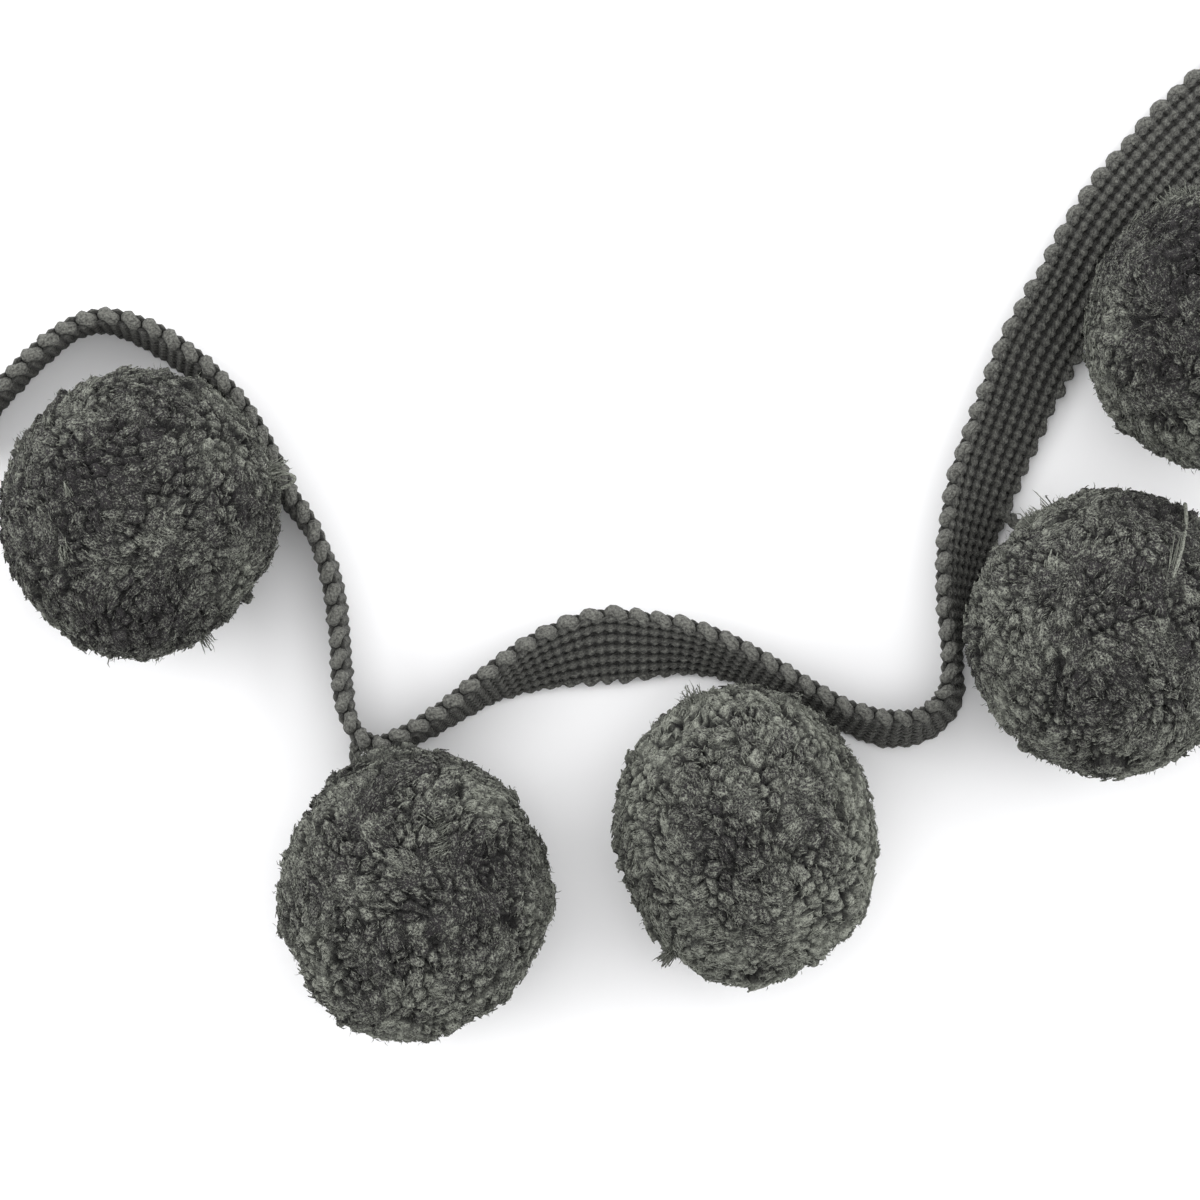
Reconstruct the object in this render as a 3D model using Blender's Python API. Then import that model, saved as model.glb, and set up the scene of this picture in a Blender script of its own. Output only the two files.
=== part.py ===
"""Pompom fringe trim: a woven heading braid lying on its edge in loose curves, with five pompoms of cut
yarn tied to its lower edge. Sizes are in millimetres, and become metres where each mesh is made."""

import math
import random

import bmesh
import bpy
import numpy as np

MM = 0.001
GAP = 0.32

# Heading braid, measured flat
BRAID_WIDTH = 13.5
LOOP_PITCH = 3.1
LOOP_DEPTH = 1.0
LOOP_THICKNESS = 2.9
WAIST_THICKNESS = 2.1
SHOULDER = 0.75
RIB_COUNT = 5
RIB_PITCH = 1.9
RIB_THICKNESS = 2.5
GROOVE_THICKNESS = 1.5

# Route of the braid's middle line over the table, in plan. Lean is the braid's angle from flat, in degrees.
ROUTE_COLUMNS = ("x", "y", "lean")
ROUTE = (
    (-93.0, 21.0, 88.0),
    (-85.2, 30.5, 90.0),
    (-80.2, 35.5, 90.0),
    (-74.8, 39.3, 90.0),
    (-71.2, 40.0, 86.0),
    (-65.4, 38.3, 81.0),
    (-59.9, 35.0, 79.0),
    (-55.3, 31.1, 79.0),
    (-51.2, 26.4, 79.0),
    (-47.7, 20.6, 80.0),
    (-44.8, 15.0, 83.0),
    (-41.2, 9.9, 86.0),
    (-38.8, 3.9, 90.0),
    (-37.3, -6.0, 90.0),
    (-36.9, -12.9, 90.0),
    (-36.2, -16.6, 88.0),
    (-34.4, -19.7, 86.0),
    (-31.6, -20.9, 85.0),
    (-28.4, -19.9, 84.0),
    (-23.4, -17.2, 82.0),
    (-15.1, -11.8, 72.0),
    (-10.0, -9.4, 59.0),
    (-5.0, -7.7, 47.0),
    (0.4, -6.6, 37.0),
    (6.1, -6.5, 46.0),
    (12.0, -6.7, 57.0),
    (17.7, -8.0, 66.0),
    (22.9, -10.3, 71.0),
    (28.6, -13.3, 75.0),
    (36.0, -16.9, 77.0),
    (41.9, -18.5, 72.0),
    (46.6, -17.8, 74.0),
    (49.9, -14.6, 76.0),
    (50.6, -8.8, 82.0),
    (50.6, -4.3, 78.0),
    (51.2, 0.9, 67.0),
    (55.4, 17.6, 39.0),
    (58.7, 25.6, 33.0),
    (62.9, 35.4, 25.0),
    (68.2, 44.1, 20.0),
    (72.6, 51.8, 12.0),
    (78.2, 59.4, 8.0),
    (86.3, 68.4, 8.0),
    (94.0, 75.2, 8.0),
)

# Pompoms: middle in plan, size, height, and the place in plan of the braid beside each tie
POMPOM_COLUMNS = ("x", "y", "width", "length", "height", "tie_x", "tie_y")
POMPOMS = (
    (-64.6, 12.1, 40.4, 42.0, 39.5, -58.0, 33.0),
    (-26.0, -41.2, 40.0, 41.8, 39.5, -33.9, -19.8),
    (20.3, -33.1, 37.6, 43.2, 39.0, 22.9, -10.3),
    (72.6, -4.6, 42.8, 41.4, 40.5, 54.4, 14.6),
    (88.0, 38.4, 39.8, 41.6, 39.5, 78.6, 60.6),
)
PILE_DEPTH = 0.9
LOCK_HEIGHT = 1.3
LOCK_ROOT_SHARE = 0.88
LOCK_TIP_SHARE = 0.5
LOCK_LEAN = 0.5
LOCKS_PER_POMPOM = 60
LOCK_CLEARANCE = 3.0
BALL_CELLS = 6
LUMP_SHARE = 0.012
LUMP_COLUMNS = ("waves", "turn")
LUMP_WAVES = ((4.1, 1.7), (5.3, -2.3), (4.7, 1.0))
FLAT_SINK = 0.7
FLAT_LIMIT = 2.1
LOCK_FLOOR_LIMIT = 3.2

# Ties: short threads from the braid's face, near its lower edge (one near its upper edge), to the pompom
TIE_RADIUS = 1.0
TIE_SIDES = 6
TIE_RINGS = 6
TIE_ACROSS_LOW = -4.6
TIE_ACROSS_HIGH = 4.55
TIE_RISE_SHARE = 0.9
HIGH_TIE = 2
TIE_END_SHARE = 0.65

BRAID_COLOUR = (0.105, 0.108, 0.092, 1.0)
YARN_COLOUR = (0.118, 0.122, 0.104, 1.0)
THREAD_COLOUR = (0.100, 0.103, 0.088, 1.0)


def clear_scene():
    for item in list(bpy.data.objects):
        bpy.data.objects.remove(item, do_unlink=True)


def material(name, colour, roughness):
    made = bpy.data.materials.new(name)
    made.use_nodes = True
    shader = made.node_tree.nodes["Principled BSDF"]
    shader.inputs["Base Color"].default_value = colour
    shader.inputs["Roughness"].default_value = roughness
    shader.inputs["Metallic"].default_value = 0.0
    return made


def unit(vectors):
    return vectors / np.linalg.norm(vectors, axis=-1, keepdims=True)


def smooth_route(rows, samples_per_span=40):
    """Cubic curve through the rows: each span is a Hermite cubic on the chord lengths, with the slope
    at a row taken from the rows on both sides of it."""
    points = np.array(rows)
    chords = np.linalg.norm(np.diff(points[:, :2], axis=0), axis=1)
    along = np.concatenate(([0.0], np.cumsum(chords)))
    slopes = np.gradient(points, along, axis=0)
    share = np.linspace(0.0, 1.0, samples_per_span, endpoint=False)[None, :, None]
    start, end = points[:-1, None, :], points[1:, None, :]
    length = chords[:, None, None]
    curve = (
        start * (1 + 2 * share) * (1 - share) ** 2
        + end * share ** 2 * (3 - 2 * share)
        + slopes[:-1, None, :] * length * share * (1 - share) ** 2
        - slopes[1:, None, :] * length * share ** 2 * (1 - share)
    )
    return np.concatenate((curve.reshape(-1, 3), points[-1:]))


class Braid:
    """Stations along the braid, two to each edge loop, with their directions and heights."""

    def __init__(self):
        curve = smooth_route(ROUTE)
        steps = np.linalg.norm(np.diff(curve[:, :2], axis=0), axis=1)
        along = np.concatenate(([0.0], np.cumsum(steps)))
        self.length = along[-1]
        self.loops = int(round(self.length / LOOP_PITCH))
        self.count = 2 * self.loops + 1
        places = np.linspace(0.0, self.length, self.count)
        rows = np.stack([np.interp(places, along, curve[:, axis]) for axis in range(3)], axis=1)
        heading = unit(np.gradient(rows[:, :2], axis=0))
        lean = np.radians(rows[:, 2])
        outward = np.stack((-heading[:, 1], heading[:, 0], np.zeros(self.count)), axis=1)
        upward = np.array((0.0, 0.0, 1.0))
        self.across = np.cos(lean)[:, None] * outward + np.sin(lean)[:, None] * upward
        self.facing = -np.sin(lean)[:, None] * outward + np.cos(lean)[:, None] * upward
        half = BRAID_WIDTH / 2
        on_tip = half * np.sin(lean)
        on_shoulder = (half - SHOULDER) * np.sin(lean) + LOOP_THICKNESS / 2 * np.cos(lean)
        height = np.maximum(on_tip, on_shoulder)
        self.middle = np.column_stack((rows[:, :2], height))

    def point(self, stations, across, out):
        return (
            self.middle[stations]
            + np.asarray(across)[..., None] * self.across[stations]
            + np.asarray(out)[..., None] * self.facing[stations]
        )

    def station_near(self, x, y):
        gaps = np.hypot(self.middle[:, 0] - x, self.middle[:, 1] - y)
        return int(np.argmin(gaps))


def braid_columns(braid):
    """Columns of points that run along the braid. Each edge has five on every station, and each face has
    one on every second station for each rib and each groove between ribs."""
    fine = np.arange(braid.count)
    coarse = fine[::2]
    groove_place = RIB_COUNT / 2 * RIB_PITCH
    edges = {}
    for side, first_crest in ((-1, 1), (1, 0)):
        crest = (fine % 2 == first_crest).astype(float)
        tip = side * (BRAID_WIDTH / 2 - LOOP_DEPTH * (1 - crest))
        shoulder = tip - side * SHOULDER
        thick = (WAIST_THICKNESS + (LOOP_THICKNESS - WAIST_THICKNESS) * crest) / 2
        groove = np.full(braid.count, side * groove_place)
        flat = np.full(braid.count, GROOVE_THICKNESS / 2)
        edges[side] = [
            braid.point(fine, groove, flat),
            braid.point(fine, shoulder, thick),
            braid.point(fine, tip, 0 * tip),
            braid.point(fine, shoulder, -thick),
            braid.point(fine, groove, -flat),
        ]
    faces = {}
    for side in (1, -1):
        faces[side] = []
        for step in range(2 * RIB_COUNT - 1):
            place = -(RIB_COUNT - 1) / 2 * RIB_PITCH + step * RIB_PITCH / 2
            thickness = RIB_THICKNESS if step % 2 == 0 else GROOVE_THICKNESS
            across = np.full(len(coarse), place)
            out = np.full(len(coarse), side * thickness / 2)
            faces[side].append(braid.point(coarse, across, out))
    return edges, faces


def braid_mesh(braid):
    """Closed skin over the columns: quads between columns of one kind, three triangles to a loop where
    an edge's column meets a face's, and one polygon over each cut end."""
    edges, faces = braid_columns(braid)
    inner, outer = edges[-1], edges[1]
    top, bottom = faces[1], faces[-1]
    ring = inner + bottom + outer[::-1] + top[::-1]
    starts = np.concatenate(([0], np.cumsum([len(column) for column in ring])))
    points = np.concatenate(ring)
    polygons = []
    for index, column in enumerate(ring):
        after = (index + 1) % len(ring)
        first, second = starts[index], starts[after]
        long_first = len(column) == braid.count
        long_second = len(ring[after]) == braid.count
        if long_first == long_second:
            for k in range(len(column) - 1):
                polygons.append((first + k, second + k, second + k + 1, first + k + 1))
            continue
        fine, coarse = (first, second) if long_first else (second, first)
        for k in range(braid.loops):
            before, between, beyond = fine + 2 * k, fine + 2 * k + 1, fine + 2 * k + 2
            near, far = coarse + k, coarse + k + 1
            triangles = ((before, near, between), (near, far, between), (far, beyond, between))
            polygons += triangles if long_first else tuple(item[::-1] for item in triangles)
    polygons.append([starts[index] for index in range(len(ring))])
    polygons.append([starts[index + 1] - 1 for index in range(len(ring))])
    return points, polygons


def pompom_centre(row):
    return np.array((row["x"], row["y"], row["height"] / 2 - FLAT_SINK))


def pompom_radii(row):
    return np.array((row["width"], row["length"], row["height"])) / 2 - PILE_DEPTH


def lump(direction, index):
    """Slow waves over the ball, of a different phase on each pompom."""
    wave = sum(math.sin(waves * value + turn * index) for value, (waves, turn) in zip(direction, LUMP_WAVES))
    return 1 + LUMP_SHARE * wave


def ball_point(direction, row, index):
    radii = pompom_radii(row) * lump(direction, index)
    return pompom_centre(row) + radii * np.array(direction)


def cube_ball(cells):
    ball = bmesh.new()
    bmesh.ops.create_cube(ball, size=2.0)
    bmesh.ops.subdivide_edges(ball, edges=ball.edges[:], cuts=cells - 1, use_grid_fill=True)
    for corner in ball.verts:
        spread = [math.tan(value * math.pi / 4) for value in corner.co]
        corner.co = spread
        corner.co.normalize()
    return ball


def choose_locks(ball, clear_of, rng):
    """Faces that carry a lock: no two share an edge, and none comes near the floor, braid or tie."""
    faces = ball.faces[:]
    rng.shuffle(faces)
    chosen = set()
    for face in faces:
        beside = {other for edge in face.edges for other in edge.link_faces}
        if beside & chosen or len(chosen) >= LOCKS_PER_POMPOM:
            continue
        root = np.array(face.calc_center_median())
        tip = root + LOCK_HEIGHT * np.array(face.normal)
        nearest = np.linalg.norm(clear_of - tip, axis=1).min()
        if root[2] > LOCK_FLOOR_LIMIT and nearest > LOCK_CLEARANCE:
            chosen.add(face)
    return [face for face in faces if face in chosen]


def raise_lock(ball, face, rng):
    """A four-sided lock: a small square on the face's middle, drawn out and narrowed, leaning a little."""
    side = math.sqrt(face.calc_area())
    root_inset = side * (1 - LOCK_ROOT_SHARE) / 2
    tip_inset = side * (LOCK_ROOT_SHARE - LOCK_TIP_SHARE) / 2
    height = LOCK_HEIGHT * rng.uniform(0.75, 1.15)
    bmesh.ops.inset_individual(ball, faces=[face], thickness=root_inset, depth=0.0)
    bmesh.ops.inset_individual(ball, faces=[face], thickness=tip_inset, depth=height)
    lean = [rng.uniform(-LOCK_LEAN, LOCK_LEAN) for _ in range(3)]
    for corner in face.verts:
        corner.co = [value + shift for value, shift in zip(corner.co, lean)]


def pompom_mesh(row, index, clear_of):
    rng = random.Random(40 + index)
    ball = cube_ball(BALL_CELLS)
    for corner in ball.verts:
        place = ball_point(corner.co, row, index)
        if place[2] < FLAT_LIMIT:
            place[2] = 0.0
        corner.co = place
    bmesh.ops.recalc_face_normals(ball, faces=ball.faces[:])
    for face in choose_locks(ball, clear_of, rng):
        raise_lock(ball, face, rng)
    return ball


def tie_route(braid, row, index):
    """Middle line of a tie: out of the braid's face, then straight towards the pompom's middle, as far as
    its surface."""
    station = braid.station_near(row["tie_x"], row["tie_y"])
    centre = pompom_centre(row)
    across = TIE_ACROSS_HIGH if index + 1 == HIGH_TIE else TIE_ACROSS_LOW
    start = braid.point(station, across, LOOP_THICKNESS / 2 + GAP)
    bend = start + TIE_RISE_SHARE * TIE_RADIUS * braid.facing[station]
    direction = unit(bend - centre)
    end = ball_point(unit(direction / pompom_radii(row)), row, index) + GAP * direction
    return np.array((start, bend, end))


def tube_mesh(route, radius, sides, rings):
    """A tube of rings across a bent middle line, narrower at both ends."""
    steps = np.linalg.norm(np.diff(route, axis=0), axis=1)
    along = np.concatenate(([0.0], np.cumsum(steps)))
    places = np.linspace(0.0, along[-1], rings)
    middle = np.stack([np.interp(places, along, route[:, axis]) for axis in range(3)], axis=1)
    run = unit(np.gradient(middle, axis=0))
    side = unit(np.cross(run, np.array((0.0, 0.0, 1.0))))
    rise = np.cross(side, run)
    share = np.linspace(-1.0, 1.0, rings)
    width = radius * (1 - (1 - TIE_END_SHARE) * share ** 4)
    turn = np.arange(sides) * 2 * math.pi / sides
    offset = np.cos(turn)[None, :, None] * side[:, None, :] + np.sin(turn)[None, :, None] * rise[:, None, :]
    points = (middle[:, None, :] + width[:, None, None] * offset).reshape(-1, 3)
    polygons = [list(range(sides)), list(range((rings - 1) * sides, rings * sides))]
    for ring in range(rings - 1):
        for k in range(sides):
            here, beside = ring * sides + k, ring * sides + (k + 1) % sides
            polygons.append((here, beside, beside + sides, here + sides))
    return points, polygons


def as_bmesh(points, polygons):
    shape = bmesh.new()
    corners = [shape.verts.new(point) for point in points]
    for polygon in polygons:
        shape.faces.new([corners[k] for k in polygon])
    bmesh.ops.recalc_face_normals(shape, faces=shape.faces[:])
    return shape


def bounds(shapes):
    corners = np.array([corner.co for shape in shapes for corner in shape.verts])
    return corners.min(axis=0), corners.max(axis=0)


def add_object(name, shape, shift, finish, sharp_angle):
    for corner in shape.verts:
        corner.co = [(value + move) * MM for value, move in zip(corner.co, shift)]
    mesh = bpy.data.meshes.new(name)
    shape.to_mesh(mesh)
    shape.free()
    mesh.materials.append(finish)
    mesh.shade_smooth()
    mesh.set_sharp_from_angle(angle=math.radians(sharp_angle))
    item = bpy.data.objects.new(name, mesh)
    bpy.context.scene.collection.objects.link(item)


def main():
    clear_scene()
    braid = Braid()
    rows = [dict(zip(POMPOM_COLUMNS, row)) for row in POMPOMS]
    braid_points, braid_polygons = braid_mesh(braid)
    pieces = [("heading_tape", as_bmesh(braid_points, braid_polygons), "braid", 25.0)]
    for index, row in enumerate(rows):
        tie_points, tie_polygons = tube_mesh(tie_route(braid, row, index), TIE_RADIUS, TIE_SIDES, TIE_RINGS)
        clear_of = np.concatenate((braid_points, tie_points))
        pieces.append((f"pompom_{index + 1}", pompom_mesh(row, index, clear_of), "yarn", 50.0))
        pieces.append((f"tie_{index + 1}", as_bmesh(tie_points, tie_polygons), "thread", 60.0))
    low, high = bounds([shape for _, shape, _, _ in pieces])
    shift = np.array((-(low[0] + high[0]) / 2, -(low[1] + high[1]) / 2, -low[2]))
    finishes = {
        "braid": (BRAID_COLOUR, 0.85),
        "yarn": (YARN_COLOUR, 0.95),
        "thread": (THREAD_COLOUR, 0.85),
    }
    for name, shape, kind, sharp_angle in pieces:
        colour, roughness = finishes[kind]
        add_object(name, shape, shift, material(f"{name}_{kind}", colour, roughness), sharp_angle)


main()
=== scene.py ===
"""Pompom fringe trim: the looks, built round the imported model. A woven heading braid lies on its edge in
loose curves, and five pompoms of cut yarn are tied along it. Lengths are in metres."""

import math

import bpy
import numpy as np
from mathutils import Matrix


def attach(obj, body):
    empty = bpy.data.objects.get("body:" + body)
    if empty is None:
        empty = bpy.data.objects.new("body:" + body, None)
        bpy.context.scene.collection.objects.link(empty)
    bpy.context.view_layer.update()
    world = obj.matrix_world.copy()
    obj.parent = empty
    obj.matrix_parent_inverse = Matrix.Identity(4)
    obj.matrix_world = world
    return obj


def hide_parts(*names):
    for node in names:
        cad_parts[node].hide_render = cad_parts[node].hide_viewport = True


bl_info = {
    "name": "Pompom fringe trim",
    "version": (1, 0, 0),
    "blender": (4, 5, 0),
    "location": "View3D > Sidebar > Trim",
    "description": "Builds the yarns of a pompom fringe trim round its packed model",
    "category": "Mesh",
}

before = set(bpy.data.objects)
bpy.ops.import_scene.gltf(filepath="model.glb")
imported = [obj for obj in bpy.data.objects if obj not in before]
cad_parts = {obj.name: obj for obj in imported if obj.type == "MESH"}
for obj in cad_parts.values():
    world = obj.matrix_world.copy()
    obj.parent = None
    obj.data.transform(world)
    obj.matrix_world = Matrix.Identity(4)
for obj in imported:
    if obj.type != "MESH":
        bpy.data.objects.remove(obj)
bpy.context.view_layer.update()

# Route of the braid's middle line over the table: x, y, and the braid's lean from flat in degrees
ROUTE = (
    (-0.09979, 0.01218, 88), (-0.09199, 0.02168, 90), (-0.08699, 0.02668, 90),
    (-0.08159, 0.03048, 90), (-0.07799, 0.03118, 86), (-0.07219, 0.02948, 81),
    (-0.06669, 0.02618, 79), (-0.06209, 0.02228, 79), (-0.05799, 0.01758, 79),
    (-0.05449, 0.01178, 80), (-0.05159, 0.00618, 83), (-0.04799, 0.00108, 86),
    (-0.04559, -0.00492, 90), (-0.04409, -0.01482, 90), (-0.04369, -0.02172, 90),
    (-0.04299, -0.02542, 88), (-0.04119, -0.02852, 86), (-0.03839, -0.02972, 85),
    (-0.03519, -0.02872, 84), (-0.03019, -0.02602, 82), (-0.02189, -0.02062, 72),
    (-0.01679, -0.01822, 59), (-0.01179, -0.01652, 47), (-0.00639, -0.01542, 37),
    (-0.00069, -0.01532, 46), (0.00521, -0.01552, 57), (0.01091, -0.01682, 66),
    (0.01611, -0.01912, 71), (0.02181, -0.02212, 75), (0.02921, -0.02572, 77),
    (0.03511, -0.02732, 72), (0.03981, -0.02662, 74), (0.04311, -0.02342, 76),
    (0.04381, -0.01762, 82), (0.04381, -0.01312, 78), (0.04441, -0.00792, 67),
    (0.04861, 0.00878, 39), (0.05191, 0.01678, 33), (0.05611, 0.02658, 25),
    (0.06141, 0.03528, 20), (0.06581, 0.04298, 12), (0.07141, 0.05058, 8),
    (0.07951, 0.05958, 8), (0.08721, 0.06638, 8),
)

# The edge that the braid rests on: half its thickness, and how far from its tip it is that thick
EDGE_HALF_THICKNESS = 0.00145
EDGE_SHOULDER = 0.00075

# Pompoms: middle, half sizes, tone of the yarn at the rim, and how much painted shade darkens it at the top
POMPOMS = (
    (-0.07139, 0.00328, 0.01905, 0.02020, 0.02100, 0.01975, 0.43, 0.38),
    (-0.03279, -0.05002, 0.01905, 0.02000, 0.02090, 0.01975, 0.64, 0.42),
    (0.01351, -0.04192, 0.01880, 0.01880, 0.02160, 0.01950, 0.92, 0.58),
    (0.06581, -0.01342, 0.01955, 0.02140, 0.02070, 0.02025, 0.59, 0.45),
    (0.08121, 0.02958, 0.01905, 0.01990, 0.02080, 0.01975, 0.61, 0.62),
)

# How far each pompom's outline lies outside its half sizes, in mm, at 12 bearings anticlockwise from x
RIMS = (
    (-1.0, -1.2, -0.9, -0.9, -1.1, -1.0, -0.7, -1.0, -0.9, -0.4, -1.7, -2.0),
    (-0.3, -2.0, -1.3, -0.1, -0.7, -1.8, -1.1, -1.4, 0.3, -0.5, -1.5, -1.3),
    (-0.9, -1.3, -1.0, -0.8, -0.6, -0.4, -0.8, -1.4, -1.7, -0.7, -0.9, 0.5),
    (-1.1, -1.1, -1.3, -1.3, -0.9, -0.9, -0.8, -0.7, -0.5, -0.6, -1.6, -1.1),
    (-1.0, -1.0, -1.0, -1.0, -0.8, -0.7, -0.6, -0.4, -0.7, -0.9, -1.0, -1.0),
)

# Ties: out of the braid's face, its bend, and the pompom's surface
TIES = (
    ((-0.06633, 0.02258, 0.00245), (-0.06689, 0.02190, 0.00262), (-0.06785, 0.01794, 0.00612)),
    ((-0.04173, -0.02991, 0.01140), (-0.04227, -0.03063, 0.01146), (-0.04111, -0.03300, 0.01239)),
    ((0.01517, -0.02216, 0.00260), (0.01479, -0.02292, 0.00289), (0.01452, -0.02693, 0.00625)),
    ((0.05171, 0.00371, 0.00330), (0.05230, 0.00353, 0.00395), (0.05555, -0.00055, 0.00770)),
    ((0.07560, 0.04814, 0.00338), (0.07570, 0.04807, 0.00427), (0.07666, 0.04485, 0.00684)),
)

# Tufts that stand out of a pompom: its number, the points that they run from and to, how many yarns, how
# far they fan out, and their tone
TUFTS = (
    (1, (-0.07948, -0.01274, 0.0215), (-0.0811, -0.0151, 0.02), 60, 0.0006, 0.60),
    (1, (-0.07533, -0.01443, 0.021), (-0.076, -0.0171, 0.019), 70, 0.0008, 0.60),
    (1, (-0.06297, -0.01331, 0.021), (-0.0618, -0.0155, 0.0195), 80, 0.0007, 0.70),
    (1, (-0.05282, 0.00943, 0.0215), (-0.0508, 0.0102, 0.0205), 90, 0.0009, 1.00),
    (1, (-0.08079, 0.00735, 0.0365), (-0.07987, 0.00528, 0.0374), 20, 0.0005, 1.20),
    (1, (-0.08127, -0.00196, 0.036), (-0.08033, -0.00429, 0.0358), 22, 0.0006, 1.20),
    (2, (-0.02739, -0.03902, 0.0353), (-0.03034, -0.04085, 0.0371), 20, 0.0006, 0.85),
    (2, (-0.02761, -0.04196, 0.0368), (-0.0303, -0.04339, 0.0381), 20, 0.0006, 0.80),
    (2, (-0.0393, -0.0325, 0.0215), (-0.0404, -0.0291, 0.021), 80, 0.0006, 0.60),
    (3, (0.00679, -0.02366, 0.023), (0.00578, -0.0215, 0.0215), 110, 0.0010, 0.80),
    (3, (0.00275, -0.05905, 0.0215), (0.0016, -0.06, 0.0205), 80, 0.0007, 0.85),
    (4, (0.0555, 0.00096, 0.0245), (0.0527, 0.004, 0.0215), 150, 0.0010, 0.95),
    (4, (0.05768, 0.00235, 0.025), (0.0556, 0.0049, 0.022), 110, 0.0010, 0.95),
    (4, (0.04589, -0.00882, 0.0225), (0.04429, -0.00825, 0.0215), 18, 0.0008, 0.60),
    (4, (0.07208, -0.00416, 0.037), (0.0738, 0.00224, 0.031), 22, 0.0006, 1.00),
    (5, (0.07503, 0.04667, 0.0225), (0.07374, 0.0492, 0.0215), 130, 0.0011, 0.95),
    (5, (0.07251, 0.04555, 0.0225), (0.07107, 0.04755, 0.0205), 22, 0.0009, 0.70),
)

# Loose yarns: the pompom's number, and four points of each
LOOSE_YARNS = (
    (1, ((-0.0524, 0.0067, 0.019), (-0.04931, 0.00751, 0.0195),
         (-0.0486, 0.00906, 0.0195), (-0.0523, 0.009, 0.02))),
    (4, ((0.07172, -0.00578, 0.0367), (0.073, -0.00249, 0.0351),
         (0.0749, 0.00128, 0.0296), (0.075, 0.0046, 0.0238))),
)

# Camera straight over the trim. At the view distance, 10 mm over the floor, it sees the view width across.
CAMERA_PLACE = (-0.00679345, -0.00881505, 0.660)
VIEW_WIDTH = 1.2 / 7
VIEW_DISTANCE = 0.650
SENSOR = 36.0

FLOOR_CLEAR = 0.00005
MM = 0.001

# How finely the braid is drawn, for each loop
PLACES_PER_LOOP = 12
RINGS_PER_LOOP = 8

# Pile: locks. A pair is the mean and spread of a normal draw, or the least and most of an even one.
LOCK_JITTER = 0.034
LOCK_SIZES = (0.72, 1.35)
LOCK_LIFT = (0.00012, 0.00026)
PROUD_SHARE = 0.06
PROUD_LIFT = (0.0002, 0.0007)
LOCK_SLOPE = 0.00016
LOCK_ALONG, LOCK_ACROSS = 1.30, 0.88
BORDER_SPREAD = 0.10
DOME_REACH = 0.95
# How far inside a lock's border the painted shade of its hollows reaches
HOLLOW_SHADE_REACH = 0.7

# Pile: waves, each as how many cross the ball
FLOW_WAVES, FLOW_SPREAD = 5.0, 0.45
SWELL_WAVES, SWELL_HEIGHT = 4.5, 0.00018
FOLD_WAVES, FOLD_HEIGHT = 52.0, 0.00024
PART_WAVES, PART_MEAN, PART_SWING = 17.0, 0.64, 0.45
CRISP_LINES = 9

# Pile: tone, with the height and number of each set of waves
TONE_WAVES = ((0.09, 3.6), (0.15, 7.5))
# Painted light: the pile's tone leans paler towards +x and -y, and darker on the opposite side
PAINTED_LIGHT_LEAN = (0.05, -0.09, 0.0)
TOP_CALM = 0.45
LOCK_TONE_SPREAD = 0.12
PLACE_TONE_SPREAD = 0.10

# Pile: the yarns on it
STRAND_LENGTHS, STRAND_RADII, STRAND_TONE = (0.0005, 0.0012), (0.00009, 0.00018), (0.02, 0.14)
TUFT_START_DEPTH, TUFT_END_DEPTH = 0.0013, 0.0005
TUFT_RADII, TUFT_TONE_SPREAD = (0.00006, 0.00013), 0.12
LOOSE_RADIUS, LOOSE_TURNS, LOOSE_TONE = 0.00030, 0.6, 0.8
FIBRE_LENGTHS, FIBRE_RADII, FIBRE_TONES = (0.0004, 0.0012), (0.00004, 0.00008), (0.3, 1.0)
TAPER = (1.0, 0.9)


def unit(vectors):
    return vectors / np.linalg.norm(vectors, axis=-1, keepdims=True)


def smooth_route(rows, samples_per_span=40):
    """Cubic curve through the rows: each span is a Hermite cubic on the chord lengths, with the slope at a
    row taken from the rows on both sides of it."""
    points = np.array(rows, dtype=float)
    chords = np.linalg.norm(np.diff(points[:, :2], axis=0), axis=1)
    along = np.concatenate(([0.0], np.cumsum(chords)))
    slopes = np.gradient(points, along, axis=0)
    share = np.linspace(0.0, 1.0, samples_per_span, endpoint=False)[None, :, None]
    start, end = points[:-1, None, :], points[1:, None, :]
    length = chords[:, None, None]
    curve = (
        start * (1 + 2 * share) * (1 - share) ** 2
        + end * share ** 2 * (3 - 2 * share)
        + slopes[:-1, None, :] * length * share * (1 - share) ** 2
        - slopes[1:, None, :] * length * share ** 2 * (1 - share)
    )
    return np.concatenate((curve.reshape(-1, 3), points[-1:]))


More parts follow.
